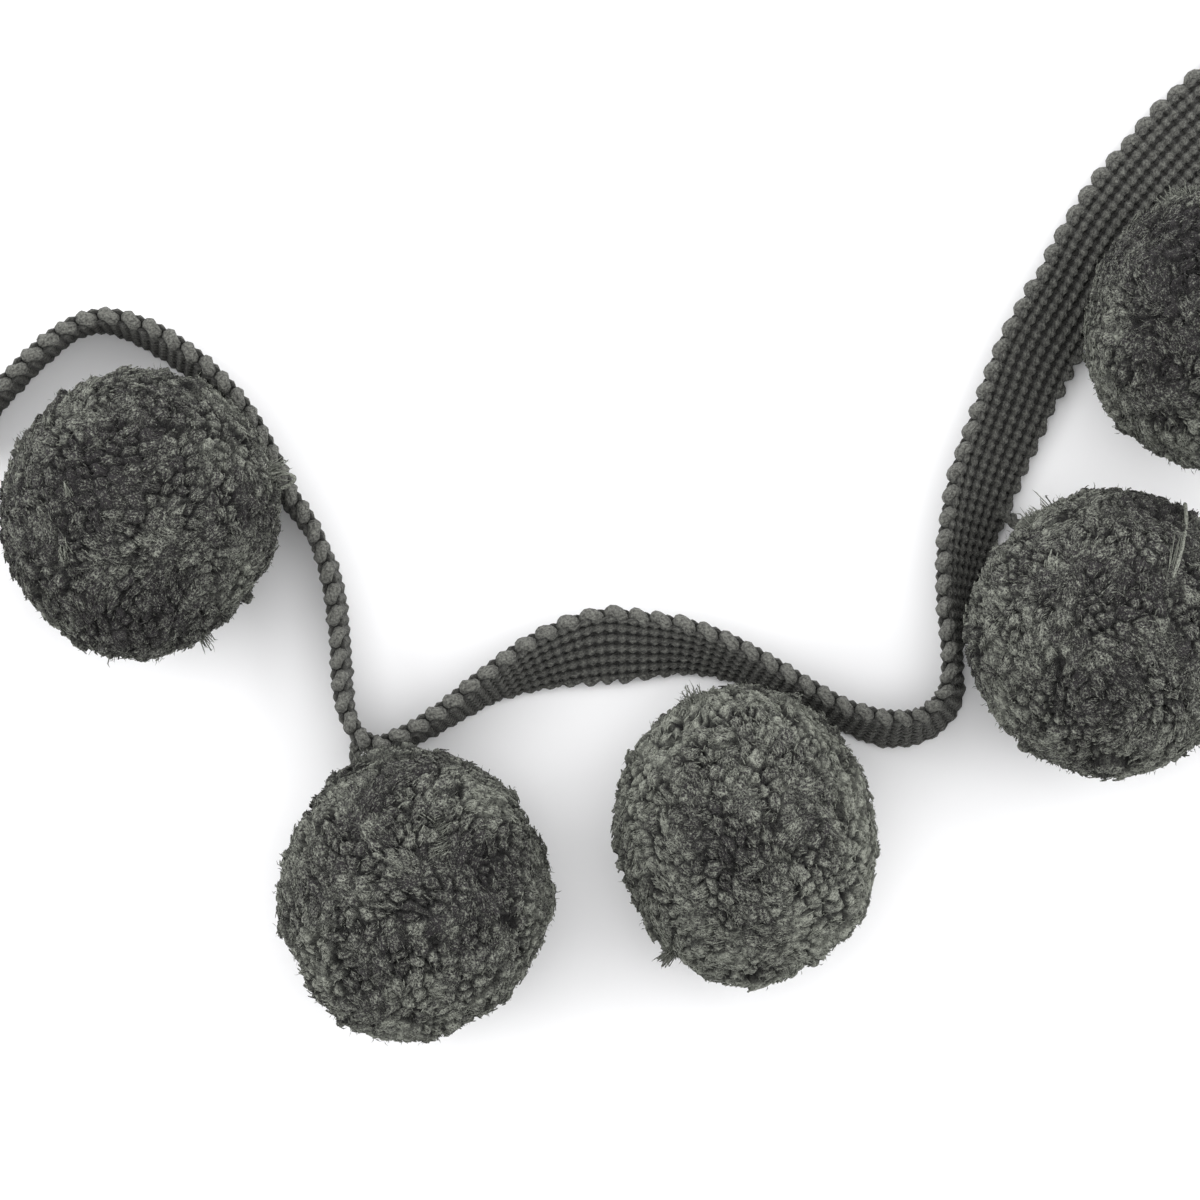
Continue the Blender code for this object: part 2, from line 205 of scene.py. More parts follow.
class BraidSpace:
    """The lying braid as a bent space: along is the length from its first end, across runs from its lower
    edge to its upper edge, and out is the distance from its middle plane, on the pompoms' side."""

    def __init__(self, settings):
        curve = smooth_route(ROUTE)
        steps = np.linalg.norm(np.diff(curve[:, :2], axis=0), axis=1)
        along = np.concatenate(([0.0], np.cumsum(steps)))
        self.length = along[-1]
        self.loops = int(round(self.length / settings.loop_pitch))
        self.pitch = self.length / self.loops
        self.places = np.linspace(0.0, self.length, PLACES_PER_LOOP * self.loops + 1)
        rows = np.stack([np.interp(self.places, along, curve[:, axis]) for axis in range(3)], axis=1)
        heading = unit(np.gradient(rows[:, :2], axis=0))
        lean = np.radians(rows[:, 2])
        outward = np.stack((-heading[:, 1], heading[:, 0], np.zeros(len(rows))), axis=1)
        upward = np.array((0.0, 0.0, 1.0))
        across = np.cos(lean)[:, None] * outward + np.sin(lean)[:, None] * upward
        facing = -np.sin(lean)[:, None] * outward + np.cos(lean)[:, None] * upward
        half = settings.width / 2
        on_tip = half * np.sin(lean)
        on_shoulder = (half - EDGE_SHOULDER) * np.sin(lean) + EDGE_HALF_THICKNESS * np.cos(lean)
        middle = np.column_stack((rows[:, :2], np.maximum(on_tip, on_shoulder)))
        self.table = np.hstack((middle, across, facing))

    def place(self, along, across, out):
        """Point of the middle line at along, plus across and out times the directions there."""
        along, across, out = np.broadcast_arrays(along, across, out)
        columns = [np.interp(along, self.places, self.table[:, k]) for k in range(9)]
        middle, sideways, facing = (np.stack(columns[k:k + 3], axis=-1) for k in (0, 3, 6))
        points = middle + across[..., None] * sideways + out[..., None] * facing
        points[..., 2] = np.maximum(points[..., 2], FLOOR_CLEAR)
        return points


def tube_grid(rings, sides):
    """Faces of a closed tube whose vertices are counted ring by ring: four-sided faces between rings, and
    one face over each end. Returns the faces' corners, their sizes, and each corner's ring and side."""
    ring, side = np.meshgrid(np.arange(rings - 1), np.arange(sides), indexing="ij")
    corner_ring = np.stack((ring, ring, ring + 1, ring + 1), axis=-1).reshape(-1)
    corner_side = np.stack((side, side + 1, side + 1, side), axis=-1).reshape(-1)
    first, last = np.arange(sides)[::-1], np.arange(sides)
    corner_ring = np.concatenate((corner_ring, np.zeros(sides, int), np.full(sides, rings - 1)))
    corner_side = np.concatenate((corner_side, first, last))
    sizes = np.concatenate((np.full((rings - 1) * sides, 4), (sides, sides)))
    return corner_ring * sides + corner_side % sides, sizes, corner_ring, corner_side


class Parts:
    """Collects shapes that become one mesh."""

    def __init__(self):
        self.points, self.corners, self.sizes = [], [], []
        self.values, self.maps = {}, []
        self.count = 0

    def add(self, points, corners, sizes, uv=None, **values):
        points = points.reshape(-1, 3)
        self.points.append(points)
        self.corners.append(corners + self.count)
        self.sizes.append(sizes)
        self.maps.append(np.zeros((len(corners), 2)) if uv is None else uv)
        for name, value in values.items():
            self.values.setdefault(name, []).append(np.broadcast_to(value, len(points)))
        self.count += len(points)

    def tube(self, grid, **values):
        """A closed tube through rings of points. Its map runs once round it, and along it in mm."""
        rings, sides = grid.shape[:2]
        corners, sizes, ring, side = tube_grid(rings, sides)
        middles = grid.mean(axis=1)
        steps = np.linalg.norm(np.diff(middles, axis=0), axis=1)
        along = np.concatenate(([0.0], np.cumsum(steps))) / MM
        uv = np.stack((side / sides, along[ring]), axis=-1)
        self.add(grid, corners, sizes, uv, **values)

    def spindles(self, spine, radii, sides, **values):
        """Many closed spindles at once. Each has a spine of points, and rings of the given radii round all
        but the first and last of them, square to the line between its ends. Its map runs once round it and
        along its spine in mm, from a start that is its own."""
        count, knots = spine.shape[:2]
        axis = unit(spine[:, -1] - spine[:, 0])
        guide = np.where(np.abs(axis[:, 2:3]) < 0.8, ((0.0, 0.0, 1.0),), ((1.0, 0.0, 0.0),))
        sideways = unit(np.cross(guide, axis))
        upright = np.cross(axis, sideways)
        turn = np.arange(sides) * 2 * math.pi / sides
        ring = (
            np.cos(turn)[:, None] * sideways[:, None, None, :]
            + np.sin(turn)[:, None] * upright[:, None, None, :]
        )
        rings = spine[:, 1:-1, None, :] + radii[:, :, None, None] * ring
        ringed = knots - 2
        rings = rings.reshape(count, ringed * sides, 3)
        points = np.concatenate((spine[:, :1], rings, spine[:, -1:]), axis=1)
        size = ringed * sides + 2
        here = np.arange(sides)
        beside = (here + 1) % sides
        root = np.stack((beside + 1, here + 1, np.zeros(sides, int)), axis=-1)
        top = 1 + (ringed - 1) * sides
        tip = np.stack((here + top, beside + top, np.full(sides, size - 1)), axis=-1)
        level = 1 + np.arange(ringed - 1)[:, None] * sides
        walls = np.stack((here, beside, beside + sides, here + sides), axis=-1) + level[..., None]
        pattern = np.concatenate((root.reshape(-1), tip.reshape(-1), walls.reshape(-1)))
        turned = (
            np.stack((here + 1, here, here + 0.5), axis=-1),
            np.stack((here, here + 1, here + 0.5), axis=-1),
            np.broadcast_to(np.stack((here, here + 1, here + 1, here), axis=-1), walls.shape),
        )
        around = np.concatenate([part.reshape(-1) for part in turned]) / sides
        knot = np.where(pattern == size - 1, knots - 1, (pattern + sides - 1) // sides)
        steps = np.linalg.norm(np.diff(spine, axis=1), axis=2)
        run = np.concatenate((np.zeros((count, 1)), np.cumsum(steps, axis=1)), axis=1) / MM
        order = np.arange(count)[:, None]
        start_round, start_along = order * 1.37 % 211, order * 7.13 % 373
        uv = np.stack((around + start_round, run[:, knot] + start_along), axis=-1)
        pattern_sizes = np.concatenate((np.full(2 * sides, 3), np.full((ringed - 1) * sides, 4)))
        corners = (pattern + order * size).reshape(-1)
        points[..., 2] = np.maximum(points[..., 2], FLOOR_CLEAR)
        spread = {name: np.repeat(np.broadcast_to(value, count), size) for name, value in values.items()}
        self.add(points, corners, np.tile(pattern_sizes, count), uv.reshape(-1, 2), **spread)

    def build(self, name, finish):
        points = np.concatenate(self.points)
        corners = np.concatenate(self.corners)
        sizes = np.concatenate(self.sizes)
        mesh = bpy.data.meshes.new(name)
        mesh.vertices.add(len(points))
        mesh.vertices.foreach_set("co", points.astype(np.float32).reshape(-1))
        mesh.loops.add(len(corners))
        mesh.loops.foreach_set("vertex_index", corners.astype(np.int32))
        mesh.polygons.add(len(sizes))
        mesh.polygons.foreach_set("loop_start", (np.cumsum(sizes) - sizes).astype(np.int32))
        mesh.update(calc_edges=True)
        uv = mesh.uv_layers.new(name="yarn_map")
        uv.data.foreach_set("uv", np.concatenate(self.maps).astype(np.float32).reshape(-1))
        for key, value in self.values.items():
            kept = mesh.attributes.new(key, "FLOAT", "POINT")
            kept.data.foreach_set("value", np.concatenate(value).astype(np.float32))
        mesh.shade_smooth()
        mesh.materials.append(finish)
        piece = bpy.data.objects.new(name, mesh)
        bpy.context.scene.collection.objects.link(piece)
        return piece


# Materials

def add_node(tree, kind, place, **values):
    made = tree.nodes.new(kind)
    made.location = place
    for key, value in values.items():
        setattr(made, key, value)
    return made


def group_tree(name, takes, gives):
    """An empty shader group with its named sockets."""
    tree = bpy.data.node_groups.new(name, "ShaderNodeTree")
    for label, kind, default in takes:
        made = tree.interface.new_socket(name=label, in_out="INPUT", socket_type=kind)
        if default is not None:
            made.default_value = default
    for label, kind in gives:
        tree.interface.new_socket(name=label, in_out="OUTPUT", socket_type=kind)
    inside = add_node(tree, "NodeGroupInput", (-900, 0))
    outside = add_node(tree, "NodeGroupOutput", (700, 0))
    return tree, inside, outside


def maths(tree, operation, place, first, second=None, clamp=False):
    made = add_node(tree, "ShaderNodeMath", place, operation=operation, use_clamp=clamp)
    for index, value in enumerate((first, second)):
        if value is None:
            continue
        if isinstance(value, (int, float)):
            made.inputs[index].default_value = value
        else:
            tree.links.new(value, made.inputs[index])
    return made.outputs[0]


def blend_colours(tree, place, share, first, second):
    made = add_node(tree, "ShaderNodeMix", place, data_type="RGBA")
    tree.links.new(share, made.inputs["Factor"])
    tree.links.new(first, made.inputs["A"])
    tree.links.new(second, made.inputs["B"])
    return made.outputs["Result"]


def fuzz_group():
    """Fuzzy yarn: fine fibre noise over object coordinates, mixed with streaks along the map. Colour goes
    from mid to light with the yarn's own tone and the noise, and towards the painted shade colour where the
    unshaded share is low, for painted shade in the hollows of the pile. Height is the noise alone."""
    tree, inside, outside = group_tree(
        "fuzzy_yarn",
        (
            ("Painted shade", "NodeSocketColor", (0.02, 0.02, 0.02, 1)),
            ("Mid", "NodeSocketColor", (0.1, 0.1, 0.1, 1)),
            ("Light", "NodeSocketColor", (0.2, 0.2, 0.2, 1)),
            ("Depth", "NodeSocketFloat", 1.0),
            ("Tone", "NodeSocketFloat", 0.5),
            ("Fibres per metre", "NodeSocketFloat", 2200.0),
            ("Speckle", "NodeSocketFloat", 0.5),
            ("Map", "NodeSocketVector", None),
            ("Streaks", "NodeSocketFloat", 0.0),
        ),
        (("Colour", "NodeSocketColor"), ("Height", "NodeSocketFloat")),
    )
    where = add_node(tree, "ShaderNodeTexCoord", (-900, -300))
    fine = add_node(tree, "ShaderNodeTexNoise", (-650, -250), noise_dimensions="3D")
    fine.inputs["Detail"].default_value = 2.0
    fine.inputs["Roughness"].default_value = 0.6
    tree.links.new(where.outputs["Object"], fine.inputs["Vector"])
    tree.links.new(inside.outputs["Fibres per metre"], fine.inputs["Scale"])
    stretch = add_node(tree, "ShaderNodeVectorMath", (-850, -550), operation="MULTIPLY")
    stretch.inputs[1].default_value = (7.0, 1.1, 1.0)
    tree.links.new(inside.outputs["Map"], stretch.inputs[0])
    streak = add_node(tree, "ShaderNodeTexNoise", (-650, -550), noise_dimensions="2D")
    streak.inputs["Detail"].default_value = 2.0
    streak.inputs["Scale"].default_value = 1.0
    tree.links.new(stretch.outputs[0], streak.inputs["Vector"])
    mixed = add_node(tree, "ShaderNodeMix", (-500, -350), data_type="FLOAT")
    tree.links.new(inside.outputs["Streaks"], mixed.inputs["Factor"])
    tree.links.new(fine.outputs["Fac"], mixed.inputs["A"])
    tree.links.new(streak.outputs["Fac"], mixed.inputs["B"])
    grain = mixed.outputs["Result"]
    centred = maths(tree, "SUBTRACT", (-450, -250), grain, 0.5)
    speckle = maths(tree, "MULTIPLY", (-300, -250), centred, inside.outputs["Speckle"])
    lightness = maths(tree, "ADD", (-150, -200), inside.outputs["Tone"], speckle, clamp=True)
    surface = blend_colours(tree, (50, 50), lightness, inside.outputs["Mid"], inside.outputs["Light"])
    # Painted shade: the colour goes to the painted shade colour where the unshaded share is low
    sunk = maths(tree, "POWER", (50, -150), inside.outputs["Depth"], 1.4, clamp=True)
    colour = blend_colours(tree, (300, 50), sunk, inside.outputs["Painted shade"], surface)
    tree.links.new(colour, outside.inputs["Colour"])
    tree.links.new(grain, outside.inputs["Height"])
    return tree


def ply_group():
    """Yarns laid side by side in a cord, a rounded ridge for each: height is the size of the sine of the
    plies round the cord, turned by the twist along it."""
    tree, inside, outside = group_tree(
        "cord_plies",
        (
            ("Map", "NodeSocketVector", None),
            ("Plies", "NodeSocketFloat", 8.0),
            ("Twist", "NodeSocketFloat", 0.2),
        ),
        (("Height", "NodeSocketFloat"),),
    )
    split = add_node(tree, "ShaderNodeSeparateXYZ", (-700, 0))
    tree.links.new(inside.outputs["Map"], split.inputs[0])
    around = maths(tree, "MULTIPLY", (-500, 100), split.outputs["X"], inside.outputs["Plies"])
    along = maths(tree, "MULTIPLY", (-500, -100), split.outputs["Y"], inside.outputs["Twist"])
    turned = maths(tree, "ADD", (-300, 0), around, along)
    angle = maths(tree, "MULTIPLY", (-150, 0), turned, math.pi)
    wave = maths(tree, "SINE", (0, 0), angle)
    ridge = maths(tree, "ABSOLUTE", (150, 0), wave)
    tree.links.new(ridge, outside.inputs["Height"])
    return tree


def shared_group(name, maker):
    return bpy.data.node_groups.get(name) or maker()


def yarn_finish(
    name, colours, fibres, speckle, bump, plies=None, tone=None, depth=None, streaks=0.0, shine=1.0
):
    """Principled yarn: the fuzz group colours it, and fuzz and plies raise it. Plies are their number round
    the cord, their twist for each mm, and their height. Tone and unshaded are names of the piece's
    attributes, the second giving how far it is out of the painted shade of its hollows; without them the
    yarn is of one tone, all at the surface with no painted shade. Shine scales the specular and the sheen."""
    made = bpy.data.materials.new(name)
    made.use_nodes = True
    tree = made.node_tree
    shader = tree.nodes["Principled BSDF"]
    fuzz = add_node(tree, "ShaderNodeGroup", (-500, 100))
    fuzz.node_tree = shared_group("fuzzy_yarn", fuzz_group)
    for label, colour in zip(("Painted shade", "Mid", "Light"), colours):
        fuzz.inputs[label].default_value = (*colour, 1.0)
    fuzz.inputs["Fibres per metre"].default_value = fibres
    fuzz.inputs["Speckle"].default_value = speckle
    for label, source, level in (("Tone", tone, 0), ("Depth", depth, 200)):
        if source:
            read = add_node(tree, "ShaderNodeAttribute", (-800, level), attribute_name=source)
            tree.links.new(read.outputs["Fac"], fuzz.inputs[label])
    tree.links.new(fuzz.outputs["Colour"], shader.inputs["Base Color"])
    height = fuzz.outputs["Height"]
    mapping = add_node(tree, "ShaderNodeUVMap", (-800, -250), uv_map="yarn_map")
    fuzz.inputs["Streaks"].default_value = streaks
    tree.links.new(mapping.outputs["UV"], fuzz.inputs["Map"])
    if plies:
        number, twist, ridge = plies
        cord = add_node(tree, "ShaderNodeGroup", (-500, -250))
        cord.node_tree = shared_group("cord_plies", ply_group)
        cord.inputs["Plies"].default_value, cord.inputs["Twist"].default_value = number, twist
        tree.links.new(mapping.outputs["UV"], cord.inputs["Map"])
        raised = maths(tree, "MULTIPLY", (-300, -250), cord.outputs["Height"], ridge)
        height = maths(tree, "ADD", (-250, -100), raised, height)
    relief = add_node(tree, "ShaderNodeBump", (-200, -300))
    relief.inputs["Strength"].default_value = bump
    relief.inputs["Distance"].default_value = 0.0009
    tree.links.new(height, relief.inputs["Height"])
    tree.links.new(relief.outputs["Normal"], shader.inputs["Normal"])
    shader.inputs["Roughness"].default_value = 0.9
    shader.inputs["Specular IOR Level"].default_value = 0.25 * shine
    shader.inputs["Sheen Weight"].default_value = 0.15 * shine
    shader.inputs["Sheen Roughness"].default_value = 0.6
    return made


# Settings

def colour_property(label, default):
    return bpy.props.FloatVectorProperty(
        name=label, description=f"{label}, linear", default=default, min=0.0, max=1.0, subtype="COLOR"
    )


def colours_of(settings):
    return tuple(settings.deep), tuple(settings.mid), tuple(settings.light)


def length_property(label, description, default):
    return bpy.props.FloatProperty(
        name=label, description=description, default=default, min=0.0, precision=5, unit="LENGTH"
    )


class TrimBraidSettings(bpy.types.PropertyGroup):
    width: length_property("Width", "Width of the flat braid, over its edge loops", 0.0135)
    loop_pitch: length_property("Loop pitch", "Distance between two loops of one edge", 0.0031)
    weft_half_thickness: length_property("Weft", "Half the weft cord's thickness inside the braid", 0.00088)
    loop_half_thickness: length_property("Loop", "Half the weft cord's thickness at an edge loop", 0.00108)
    warp_pitch: length_property("Warp pitch", "Distance between two rows of warp stitches", 0.0019)
    warp_rows: bpy.props.IntProperty(name="Rows", description="Rows of warp stitches", default=5, min=1)
    stitch_half_width: length_property("Stitch", "Half the width of a warp stitch", 0.00082)
    loop_slant: length_property("Loop slant", "How far a loop leans to a face, by turns", 0.00042)
    # The painted shade colour of the braid's hollows, where shade falls between the cords
    deep: colour_property("Painted shade in hollows", (0.010, 0.0095, 0.009))
    mid: colour_property("Darker yarn", (0.057, 0.056, 0.052))
    light: colour_property("Lighter yarn", (0.205, 0.208, 0.187))


class TrimPompomSettings(bpy.types.PropertyGroup):
    locks: bpy.props.IntProperty(name="Locks", description="Locks of cut yarn", default=1150, min=50)
    lock_height: length_property("Lock height", "Height of a lock over the hollows round it", 0.00120)
    roughness: length_property("Roughness", "Unevenness of a lock's surface", 0.00006)
    strands: bpy.props.IntProperty(
        name="Strands", description="Single strands on the locks", default=4600, min=1
    )
    fibres: bpy.props.IntProperty(name="Fibres", description="Loose fibres", default=2200, min=1)
    # The painted shade colour of the hollows in the pile
    deep: colour_property("Painted shade in the pile", (0.0095, 0.009, 0.0092))
    mid: colour_property("Darker yarn", (0.030, 0.0275, 0.029))
    light: colour_property("Lighter yarn", (0.284, 0.296, 0.254))


class TrimTieSettings(bpy.types.PropertyGroup):
    radius: length_property("Tie radius", "Radius of one tie", 0.0010)
    strands: bpy.props.IntProperty(name="Strands", description="Yarns twisted in a tie", default=3, min=2)
    # The painted shade colour of a tie's hollows; the ties carry no unshaded share, so none of it shows
    deep: colour_property("Painted shade in hollows", (0.016, 0.016, 0.015))
    mid: colour_property("Darker yarn", (0.030, 0.030, 0.027))
    light: colour_property("Lighter yarn", (0.130, 0.132, 0.118))


class TrimStageSettings(bpy.types.PropertyGroup):
    floor: colour_property("Floor", (0.86, 0.86, 0.87))
    side_light: bpy.props.FloatProperty(name="Lights", description="Power of each light", default=9.0)
    sky: bpy.props.FloatProperty(name="Sky", description="Strength of the light all round", default=0.62)


# Pieces

def take_place_of(piece, slot, *nodes):
    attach(piece, "root")
    if nodes:
        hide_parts(*nodes)


def web_points(space, settings):
    """Thin flat ring of points at each station: its half width is the braid's width at the foot of the
    loops, plus a cosine wave that reaches into each loop."""
    columns = 6
    half_thickness, loop_gap, reach = 0.00030, 0.0001, 0.0004
    along = np.linspace(0.0, space.length, RINGS_PER_LOOP * space.loops + 1)
    wave = np.cos(2 * math.pi * along / space.pitch)
    foot = settings.width / 2 - space.pitch / 2 - loop_gap
    share = np.linspace(-1.0, 1.0, columns)[None, :]
    upper = foot + reach * wave
    lower = foot - reach * wave
    across = np.where(share > 0, share * upper[:, None], share * lower[:, None])
    ring_across = np.concatenate((across, across[:, ::-1]), axis=1)
    ring_out = np.repeat((-half_thickness, half_thickness), columns)
    return space.place(along[:, None], ring_across, ring_out)


def weft_points(space, settings, rng):
    """The weft cord's rings. Its middle line runs straight across the braid, turns through half a circle of
    a quarter of the pitch at the edge, and runs back. It lies nearer to one face on the way there and to
    the other on the way back, by a sine wave along the braid. A ring is an ellipse across that line, which
    is pressed by a cosine wave at the warp rows, and grows to the loop's at the turns."""
    sides, steps = 8, 15
    passes = 2 * space.loops
    turn_radius = space.pitch / 4
    foot = settings.width / 2 - 2 * turn_radius
    quarter = np.radians((0.0, 30.0, 60.0))
    sine, cosine = turn_radius * np.sin(quarter), turn_radius * np.cos(quarter)
    along = np.concatenate((sine, np.full(steps, turn_radius), 2 * turn_radius - sine[:0:-1]))
    across = np.concatenate((foot + cosine, np.linspace(foot, -foot, steps), -foot - cosine[:0:-1]))
    order = np.arange(passes)
    side = np.where(order % 2 == 0, 1.0, -1.0)
    along = (along + order[:, None] * 2 * turn_radius).reshape(-1)
    across = (across * side[:, None]).reshape(-1)
    along = np.append(along, space.length)
    across = np.append(across, side[0] * (foot + turn_radius))
    run = unit(np.stack((np.gradient(along), np.gradient(across)), axis=-1))

    # From 1.1 mm inside the foot of a turn, the cord takes 2 mm to become the loop
    at_loop = np.clip((np.abs(across) - foot + 0.0011) / 0.0020, 0.0, 1.0)
    at_loop = at_loop ** 2 * (3 - 2 * at_loop)
    pressed, dip, widening, inner_slant, inner_depth = 0.78, 0.08, 0.20, 0.00012, 0.30
    wave = np.cos(2 * math.pi * across / settings.warp_pitch)
    inner = settings.weft_half_thickness * (pressed - dip * wave)
    half_out = inner + (settings.loop_half_thickness - inner) * at_loop
    half_in = turn_radius * (1.0 + widening * at_loop)

    # Each loop's own size, and its shifts towards a face and out of the edge
    loop = np.clip(np.round(along / space.pitch * 2).astype(int), 0, passes)
    swell = rng.uniform(0.93, 1.06, passes + 1)[loop]
    shove = rng.normal(0.0, 0.00008, passes + 1)[loop] * at_loop
    reach = rng.normal(0.0, 0.00010, passes + 1)[loop] * at_loop * np.sign(across)
    slant = inner_slant + (settings.loop_slant - inner_slant) * at_loop
    shift = np.sin(2 * math.pi * along / space.pitch) * slant
    theta = np.arange(sides) * 2 * math.pi / sides
    flat = half_in[:, None] * np.cos(theta)
    rise = (half_out * (1 + (swell - 1) * at_loop))[:, None] * np.sin(theta)
    ring_along = np.clip(along[:, None] - run[:, 1:] * flat, 0.0, space.length)
    ring_across = across[:, None] + run[:, :1] * flat + reach[:, None]
    points = space.place(ring_along, ring_across, rise + (shove + shift)[:, None])
    # Painted shade: the cord is darker inside the braid, under the warp stitches, and unshaded at the loops
    return points, np.repeat(inner_depth + (1 - inner_depth) * at_loop, sides)


def warp_points(space, settings, place, face, scale, lift):
    """A row of warp stitches on one face: an ellipse that swells by a cosine wave over each pass of the
    weft and sinks between passes. A sine wave across the row bends it, and each ring lies askew along it,
    so that the stitches slant."""
    sides, bend, askew = 6, 0.00010, 0.00024
    spacing = space.pitch / 2
    along = np.linspace(0.0, space.length, RINGS_PER_LOOP * space.loops + 1)
    swell = -np.cos(2 * math.pi * along / spacing)
    slant = np.sin(2 * math.pi * along / spacing)
    theta = np.arange(sides) * 2 * math.pi / sides
    half_across = scale * settings.stitch_half_width * (0.87 + 0.13 * swell)
    half_out = scale * (0.00054 + 0.00011 * swell)
    middle_out = face * (lift + 0.00066 + 0.00009 * swell)
    middle_across = place + bend * slant * face
    ring_across = middle_across[:, None] + half_across[:, None] * np.cos(theta)
    ring_out = middle_out[:, None] + half_out[:, None] * np.sin(theta)
    ring_along = along[:, None] + askew * np.cos(theta)
    # Painted shade: each stitch is darker on its side turned into the braid and where it sinks between
    # passes of the weft
    depth = (0.40 + 0.60 * np.clip(face * np.sin(theta), 0.0, 1.0)) * (0.80 + 0.20 * swell[:, None])
    return space.place(np.clip(ring_along, 0.0, space.length), ring_across, ring_out), depth.reshape(-1)


def sphere_directions(count, rng, jitter):
    """Golden-angle spiral: direction k is at height 1 - (2k + 1) / count and turned by k golden angles,
    then moved by a normal jitter."""
    order = np.arange(count)
    height = 1 - (2 * order + 1) / count
    turn = order * math.pi * (3 - math.sqrt(5))
    level = np.sqrt(1 - height ** 2)
    directions = np.stack((level * np.cos(turn), level * np.sin(turn), height), axis=-1)
    return unit(directions + rng.normal(0.0, jitter, directions.shape))


def wave_lines(rng, waves, count=5):
    """Random lines for slow waves, and where each wave begins."""
    lines = unit(rng.normal(size=(count, 3))) * rng.uniform(0.7, 1.3, (count, 1)) * waves
    return lines, rng.uniform(0, 2 * math.pi, count)


def slow_waves(directions, lines, phase):
    """Sum of sine waves over the sphere, each along its line, scaled to about one."""
    return np.sin(directions @ lines.T + phase).sum(axis=-1) / math.sqrt(len(lines) / 2)


def ball_mesh(levels):
    """Directions spread evenly over a ball: the corners of an icosahedron, whose faces are cut in four at
    the middles of their edges as often as levels says, and pushed out to length one."""
    far = (1 + math.sqrt(5)) / 2
    points = unit(np.array((
        (-1, far, 0), (1, far, 0), (-1, -far, 0), (1, -far, 0), (0, -1, far), (0, 1, far),
        (0, -1, -far), (0, 1, -far), (far, 0, -1), (far, 0, 1), (-far, 0, -1), (-far, 0, 1),
    )))
    faces = np.array((
        (0, 11, 5), (0, 5, 1), (0, 1, 7), (0, 7, 10), (0, 10, 11), (1, 5, 9), (5, 11, 4), (11, 10, 2),
        (10, 7, 6), (7, 1, 8), (3, 9, 4), (3, 4, 2), (3, 2, 6), (3, 6, 8), (3, 8, 9), (4, 9, 5),
        (2, 4, 11), (6, 2, 10), (8, 6, 7), (9, 8, 1),
    ))
    for _ in range(levels):
        edges = np.sort(faces[:, (0, 1, 1, 2, 2, 0)].reshape(-1, 2), axis=1)
        edges, which = np.unique(edges, axis=0, return_inverse=True)
        middle = which.reshape(-1, 3) + len(points)
        points = np.concatenate((points, unit(points[edges[:, 0]] + points[edges[:, 1]])))
        first, second, third = faces.T
        ab, bc, ca = middle.T
        faces = np.concatenate([
            np.stack(corners, axis=1)
            for corners in ((first, ab, ca), (second, bc, ab), (third, ca, bc), (ab, bc, ca))
        ])
    return points, faces


def flow_along(outward, rng, waves):
    """A direction along the surface at each place: three sets of slow waves, less their part along the
    place's own direction."""
    field = np.stack([slow_waves(outward, *wave_lines(rng, waves)) for _ in range(3)], axis=-1)
    return unit(field - (field * outward).sum(axis=1, keepdims=True) * outward)


def tuft_spines(start, end, yarns, fan, rng):
    """Lines from behind the start towards the end, each by its own share of the way. They spread by chance:
    by about half the fan at the start, and all of it at the end."""
    spread = rng.normal(0.0, 1.0, (yarns, 1, 3)) * (np.array((0.55, 0.6, 0.85, 1.0)) * fan)[:, None]
    share = np.array((-0.35, 0.15, 0.80, 0.9))[:, None] * rng.uniform(0.5, 1.0, (yarns, 1, 1))
    return start + (end - start) * share + spread + rng.normal(0.0, 0.3 * fan, (yarns, 4, 3))


def yarn_tube(points, radius, turns):
    """Rings of a thin loose yarn along the cubic curve of four points; each ring turns on from the last."""
    share = np.linspace(0.0, 1.0, 18)[:, None]
    back = 1 - share
    weights = np.hstack((back ** 3, 3 * back ** 2 * share, 3 * back * share ** 2, share ** 3))
    middle = weights @ np.array(points)
    run = unit(np.gradient(middle, axis=0))
    sideways = unit(np.cross(run, (0.0, 0.0, 1.0)))
    rise = np.cross(run, sideways)
    theta = (np.arange(6) / 6 + share * turns) * 2 * math.pi
    return middle[:, None, :] + radius * (
        np.cos(theta)[..., None] * sideways[:, None, :] + np.sin(theta)[..., None] * rise[:, None, :]
    )


def lock_places(directions, half, ends, flow, size):
    """The nearest lock to each direction, where distance counts for less along a lock's own flow. Returns
    the lock, the place across and along it, and how far inside its border the place lies: the distance to
    the second nearest lock less that to the nearest."""
    score = directions.astype(np.float32) @ ends.T.astype(np.float32)
    near = np.argpartition(-score, 6, axis=1)[:, :6]
    offset = (directions[:, None, :] - ends[near]) * half / MM
    across_flow = np.cross(ends, flow)
    along = (offset * flow[near]).sum(axis=-1)
    across = (offset * across_flow[near]).sum(axis=-1)
    reach = np.hypot(along / LOCK_ALONG, across / LOCK_ACROSS) / size[near]
    order = np.argsort(reach, axis=1)[:, :2]
    pick = np.arange(len(directions))
    inside = reach[pick, order[:, 1]] - reach[pick, order[:, 0]]
    first = order[:, 0]
    return near[pick, first], across[pick, first], along[pick, first], inside


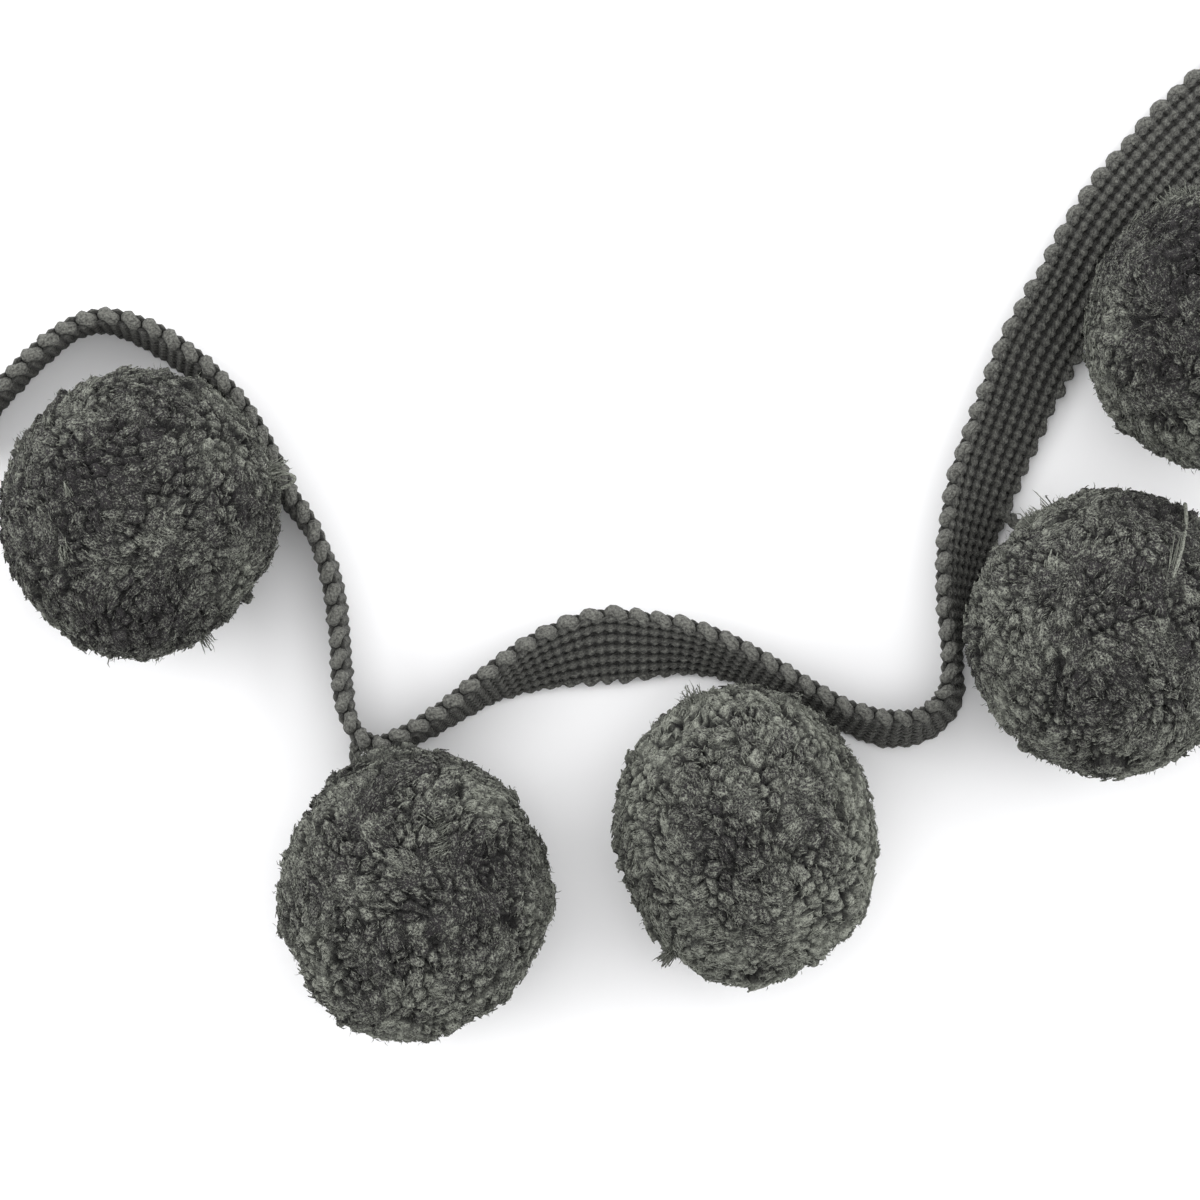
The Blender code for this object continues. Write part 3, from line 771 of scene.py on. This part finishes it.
def pompom_parts(row, index, settings, ball):
    """One felted surface of locks, with strands, tufts, loose yarns and fibres on it. A lock domes as a
    quarter circle does from its border inwards, and rises towards the end that its flow runs to. Waves part
    the locks, fold them finely and swell the ball. The rim at its bearing moves the outline, and the mean
    rim the top and bottom. Tone is waves, each lock's chance and a painted lean of light to one side, with
    painted shade round the top. Shade is also painted into the hollows where locks part and along the
    folds. Strands lie along the flow."""
    rng = np.random.default_rng(300 + index)
    centre, half, (rim_tone, painted_top_shade) = np.array(row[:3]), np.array(row[3:6]), row[6:]
    directions, faces = ball
    parts = Parts()

    locks = settings.locks
    ends = sphere_directions(locks, rng, LOCK_JITTER)
    tone = sum(swing * slow_waves(ends, *wave_lines(rng, waves)) for swing, waves in TONE_WAVES)
    at_top = np.clip(ends[:, 2], 0.0, 1.0) ** 2
    tone *= 1 - TOP_CALM * at_top
    # Painted shade: the tone is darker round the top of the ball
    tone += rng.normal(rim_tone, LOCK_TONE_SPREAD, locks) - painted_top_shade * at_top
    # Painted light: paler towards +x and -y
    tone += ends @ np.array(PAINTED_LIGHT_LEAN)
    lift = rng.normal(*LOCK_LIFT, locks)
    lift += (rng.random(locks) < PROUD_SHARE) * rng.uniform(*PROUD_LIFT, locks)
    flow = flow_along(ends, rng, FLOW_WAVES)
    flow = flow + rng.normal(0.0, FLOW_SPREAD, flow.shape)
    flow = unit(flow - (flow * ends).sum(axis=1, keepdims=True) * ends)
    size = rng.uniform(*LOCK_SIZES, locks)
    lock, across, along, inside = lock_places(directions, half, ends, flow, size)
    inside = inside + rng.normal(0.0, BORDER_SPREAD, len(inside))
    dome = np.sqrt(1 - (1 - np.clip(inside / DOME_REACH, 0.0, 1.0)) ** 2)
    fold = np.abs(slow_waves(directions, *wave_lines(rng, FOLD_WAVES, CRISP_LINES)))
    parting = slow_waves(directions, *wave_lines(rng, PART_WAVES, CRISP_LINES))
    apart = np.clip(PART_MEAN + PART_SWING * parting, 0.2, 1.0)
    normal = unit(directions / half)
    height = lift[lock] + settings.lock_height * apart * (dome - 1)
    height += LOCK_SLOPE * np.clip(along, -1.2, 1.2) * dome
    height += SWELL_HEIGHT * slow_waves(directions, *wave_lines(rng, SWELL_WAVES))
    height += FOLD_HEIGHT * (np.minimum(fold, 1.2) - 0.7)
    bearing = np.arctan2(directions[:, 1], directions[:, 0])
    bearings = np.linspace(0.0, 2 * math.pi, len(RIMS[index]), endpoint=False)
    rim = np.interp(bearing, bearings, RIMS[index], period=2 * math.pi)
    level = directions[:, 2] ** 2
    height += MM * (rim * (1 - level) + np.mean(RIMS[index]) * level)
    height += rng.normal(0.0, settings.roughness, len(height))
    surface = centre + directions * half + height[:, None] * normal
    surface[:, 2] = np.maximum(surface[:, 2], FLOOR_CLEAR)
    start = rng.uniform(0.0, 200.0, (locks, 2))
    uv = (np.column_stack((across * 0.55, along * 0.9)) + start[lock])[faces.reshape(-1)]
    surface_tone = tone[lock] + rng.normal(0.0, PLACE_TONE_SPREAD, len(lock))
    # Painted shade: the colour goes to the painted shade colour in the hollows where locks part, and is
    # darker along the fine folds
    sunk = apart * (1 - np.clip(inside / HOLLOW_SHADE_REACH, 0.0, 1.0)) ** 1.2
    depth = (1 - sunk) * (0.55 + 0.45 * np.clip(fold / 0.5, 0.0, 1.0))
    parts.add(surface, faces.reshape(-1), np.full(len(faces), 3), uv, depth=depth, tone=surface_tone)

    strands = settings.strands
    pick = rng.choice(np.flatnonzero(dome > 0.45), strands)
    up = normal[pick]
    lie = flow[lock[pick]] + rng.normal(0.0, 0.28, (strands, 3))
    lie = unit(lie - (lie * up).sum(axis=1, keepdims=True) * up)
    lie *= rng.uniform(*STRAND_LENGTHS, (strands, 1))
    rise = np.array((-0.00030, 0.00003, 0.00008, 0.00004))[:, None]
    rise = rise + np.array((0.0, 0.0, 0.3, 0.5))[:, None] * rng.uniform(0.0, 0.0006, (strands, 1, 1))
    run = np.array((-0.75, -0.30, 0.55, 0.75))[:, None]
    spine = surface[pick][:, None, :] + rise * up[:, None, :] + run * lie[:, None, :]
    spine[:, 1:3] += rng.normal(0.0, 0.00005, (strands, 2, 3))
    radii = rng.uniform(*STRAND_RADII, (strands, 1)) * np.array(TAPER)
    strand_tone = tone[lock[pick]] + rng.normal(*STRAND_TONE, strands)
    parts.spindles(spine, radii, 3, depth=1.0, tone=strand_tone)

    for number, begin, finish, yarns, fan, light in TUFTS:
        if number == index + 1:
            begin = np.array(begin) + TUFT_START_DEPTH * unit(centre - begin)
            finish = np.array(finish) + TUFT_END_DEPTH * unit(centre - finish)
            tuft = tuft_spines(begin, finish, yarns, fan, rng)
            radii = rng.uniform(*TUFT_RADII, (yarns, 1)) * np.array(TAPER)
            tuft_tone = rng.normal(light, TUFT_TONE_SPREAD, yarns)
            parts.spindles(tuft, radii, 3, depth=1.0, tone=tuft_tone)
    for number, points in LOOSE_YARNS:
        if number == index + 1:
            parts.tube(yarn_tube(points, LOOSE_RADIUS, LOOSE_TURNS), depth=1.0, tone=LOOSE_TONE)

    fibres = settings.fibres
    pick = rng.choice(np.flatnonzero(dome > 0.6), fibres)
    stray = unit(normal[pick] * 0.45 + rng.normal(0.0, 0.6, (fibres, 3)))
    reach = rng.uniform(*FIBRE_LENGTHS, (fibres, 1))
    bend = rng.normal(0.0, 0.00012, stray.shape)
    base = surface[pick]
    spine = np.stack((base, base + stray * reach * 0.5 + bend, base + stray * reach), axis=1)
    radii = rng.uniform(*FIBRE_RADII, (fibres, 1))
    fibre_tone = rng.uniform(*FIBRE_TONES, fibres)
    parts.spindles(spine, radii, 3, depth=1.0, tone=fibre_tone)
    return parts


def tie_parts(route, settings, index):
    """Yarns twisted round a tie's middle line: strand k is that line plus a small circle, turned by k
    shares of a turn and by the length run. The ends run on into the braid and the pompom."""
    into_braid, into_pompom, turn_length, sides = 0.0008, 0.0022, 0.0055, 8
    route = np.array(route)
    ends = unit(route[[0, -1]] - route[[1, 1]])
    route[0] += ends[0] * into_braid
    route[-1] += ends[1] * into_pompom
    share = np.linspace(0.0, 1.0, 25)[:, None]
    middle = (1 - share) ** 2 * route[0] + 2 * share * (1 - share) * route[1] + share ** 2 * route[2]
    run = unit(np.gradient(middle, axis=0))
    sideways = unit(np.cross(run, (0.0, 0.0, 1.0)))
    rise = np.cross(run, sideways)
    length = np.linalg.norm(np.diff(middle, axis=0), axis=1).sum()
    theta = (np.arange(sides) * 2 * math.pi / sides)[None, :, None]
    ring = np.cos(theta) * sideways[:, None, :] + np.sin(theta) * rise[:, None, :]
    strand_radius, circle = settings.radius * 0.50, settings.radius * 0.52
    parts = Parts()
    for strand in range(settings.strands):
        turn = 2 * math.pi * (strand / settings.strands + share * length / turn_length) + index
        offset = circle * (np.cos(turn) * sideways + np.sin(turn) * rise)
        parts.tube((middle + offset)[:, None, :] + strand_radius * ring)
    return parts


class TRIM_OT_braid(bpy.types.Operator):
    """Weave the heading braid: a web, the looped weft cord and the rows of warp stitches"""

    bl_idname = "trim.braid"
    bl_label = "Braid"

    def execute(self, context):
        settings = context.scene.trim_braid
        space = BraidSpace(settings)
        rng = np.random.default_rng(21)
        colours = colours_of(settings)
        # The web is coloured from the painted shade colour to the darker yarn: it is a sheet of painted
        # shade seen in the holes between the cords
        web_shade_colours = (colours[0], colours[0], colours[1])
        looks = {"fibres": 2800.0, "speckle": 2.8, "bump": 0.9, "depth": "depth", "shine": 0.55}
        cord_finish = yarn_finish("weft_yarn", colours, plies=(6.0, 0.30, 0.35), **looks)
        stitch_finish = yarn_finish("warp_yarn", colours, plies=(4.0, 0.8, 0.35), **looks)
        web_finish = yarn_finish("web_yarn_in_shade", web_shade_colours, 2600.0, 0.6, 0.4)

        web = Parts()
        web.tube(web_points(space, settings))
        web = web.build("heading_web", web_finish)
        weft = Parts()
        points, depth = weft_points(space, settings, rng)
        weft.tube(points, depth=depth)
        weft = weft.build("weft_cord", cord_finish)
        warp = Parts()
        reach = (settings.warp_rows - 1) / 2 * settings.warp_pitch
        places = [(place, 1.0, 0.0) for place in np.linspace(-reach, reach, settings.warp_rows)]
        beyond, smaller, raised = 0.82 * settings.warp_pitch, 0.74, 0.00012
        places += [(side * (reach + beyond), smaller, raised) for side in (-1, 1)]
        for place, scale, lift in places:
            for face in (1, -1):
                points, depth = warp_points(space, settings, place, face, scale, lift)
                warp.tube(points, depth=depth)
        warp = warp.build("warp_stitches", stitch_finish)
        take_place_of(web, "braid", "heading_tape")
        take_place_of(weft, "braid")
        take_place_of(warp, "braid")
        return {"FINISHED"}


class TRIM_OT_pompoms(bpy.types.Operator):
    """Fill the pompoms with cut yarn ends"""

    bl_idname = "trim.pompoms"
    bl_label = "Pompoms"

    def execute(self, context):
        settings = context.scene.trim_pompoms
        colours = colours_of(settings)
        finish = yarn_finish(
            "pile_yarn", colours, 3400.0, 4.8, 1.0, tone="tone", depth="depth", streaks=0.3, shine=0.3
        )
        ball = ball_mesh(6)
        for index, row in enumerate(POMPOMS):
            pile = pompom_parts(row, index, settings, ball).build(f"yarn_pile_{index + 1}", finish)
            take_place_of(pile, "pile_yarn", f"pompom_{index + 1}")
        return {"FINISHED"}


class TRIM_OT_ties(bpy.types.Operator):
    """Twist the ties that hold the pompoms to the braid"""

    bl_idname = "trim.ties"
    bl_label = "Ties"

    def execute(self, context):
        settings = context.scene.trim_ties
        colours = colours_of(settings)
        finish = yarn_finish("tie_yarn", colours, 2800.0, 2.4, 0.8, plies=(4.0, 0.8, 0.5), shine=0.6)
        for index, route in enumerate(TIES):
            tie = tie_parts(route, settings, index).build(f"twisted_tie_{index + 1}", finish)
            take_place_of(tie, "tie_yarn", f"tie_{index + 1}")
        return {"FINISHED"}


class TRIM_OT_stage(bpy.types.Operator):
    """Set the floor, the soft lights and the camera over the trim"""

    bl_idname = "trim.stage"
    bl_label = "Stage"

    def execute(self, context):
        settings = context.scene.trim_stage
        self.floor(settings)
        for name, place, size in (
            ("light_left", (-1.00, 0.15, 0.60), 0.9),
            ("light_right", (1.00, 0.15, 0.60), 0.9),
            ("light_behind", (0.0, 1.05, 0.75), 1.6),
            ("light_over", (0.0, 0.0, 1.3), 1.2),
        ):
            self.light(name, place, size, settings.side_light)
        world = bpy.data.worlds.new("soft_sky")
        world.use_nodes = True
        sky = world.node_tree.nodes["Background"]
        sky.inputs["Color"].default_value = (1.0, 1.0, 1.0, 1.0)
        sky.inputs["Strength"].default_value = settings.sky
        context.scene.world = world
        lens = bpy.data.cameras.new("overhead_camera")
        lens.sensor_width = SENSOR
        lens.lens = SENSOR * VIEW_DISTANCE / VIEW_WIDTH
        lens.clip_start, lens.clip_end = 0.01, 20.0
        camera = bpy.data.objects.new("overhead_camera", lens)
        camera.location = CAMERA_PLACE
        context.scene.collection.objects.link(camera)
        context.scene.camera = camera
        context.scene.view_settings.view_transform = "Standard"
        return {"FINISHED"}

    def floor(self, settings):
        mesh = bpy.data.meshes.new("floor")
        reach = 4.0
        mesh.from_pydata(
            [(-reach, -reach, 0.0), (reach, -reach, 0.0), (reach, reach, 0.0), (-reach, reach, 0.0)],
            [],
            [(0, 1, 2, 3)],
        )
        paper = bpy.data.materials.new("floor_paper")
        paper.use_nodes = True
        shader = paper.node_tree.nodes["Principled BSDF"]
        shader.inputs["Base Color"].default_value = (*settings.floor, 1.0)
        shader.inputs["Roughness"].default_value = 0.9
        shader.inputs["Specular IOR Level"].default_value = 0.1
        mesh.materials.append(paper)
        ground = bpy.data.objects.new("floor", mesh)
        bpy.context.scene.collection.objects.link(ground)

    def light(self, name, place, size, power):
        """A square area light at the place, turned to face the origin."""
        lamp = bpy.data.lights.new(name, "AREA")
        lamp.size = size
        lamp.energy = power
        item = bpy.data.objects.new(name, lamp)
        away = np.array(place)
        level = math.hypot(away[0], away[1])
        item.rotation_euler = (0.0, math.atan2(level, away[2]), math.atan2(away[1], away[0]))
        item.location = place
        item.visible_camera = False
        bpy.context.scene.collection.objects.link(item)


class TRIM_PT_panel(bpy.types.Panel):
    """The trim's pieces and their sizes and colours"""

    bl_idname = "TRIM_PT_panel"
    bl_label = "Pompom fringe trim"
    bl_space_type = "VIEW_3D"
    bl_region_type = "UI"
    bl_category = "Trim"

    def draw(self, context):
        for name in SETTINGS:
            group = getattr(context.scene, name)
            box = self.layout.box()
            box.operator(name.replace("_", "."))
            for key in group.bl_rna.properties.keys():
                if key not in ("rna_type", "name"):
                    box.prop(group, key)


SETTINGS = {
    "trim_braid": TrimBraidSettings,
    "trim_pompoms": TrimPompomSettings,
    "trim_ties": TrimTieSettings,
    "trim_stage": TrimStageSettings,
}
CLASSES = (
    *SETTINGS.values(), TRIM_OT_braid, TRIM_OT_pompoms, TRIM_OT_ties, TRIM_OT_stage, TRIM_PT_panel,
)


def register():
    for item in CLASSES:
        bpy.utils.register_class(item)
    for name, group in SETTINGS.items():
        setattr(bpy.types.Scene, name, bpy.props.PointerProperty(type=group))


def unregister():
    for name in SETTINGS:
        delattr(bpy.types.Scene, name)
    for item in reversed(CLASSES):
        bpy.utils.unregister_class(item)


def main():
    register()
    bpy.ops.trim.braid()
    bpy.ops.trim.pompoms()
    bpy.ops.trim.ties()
    bpy.ops.trim.stage()


if __name__ == "__main__":
    main()
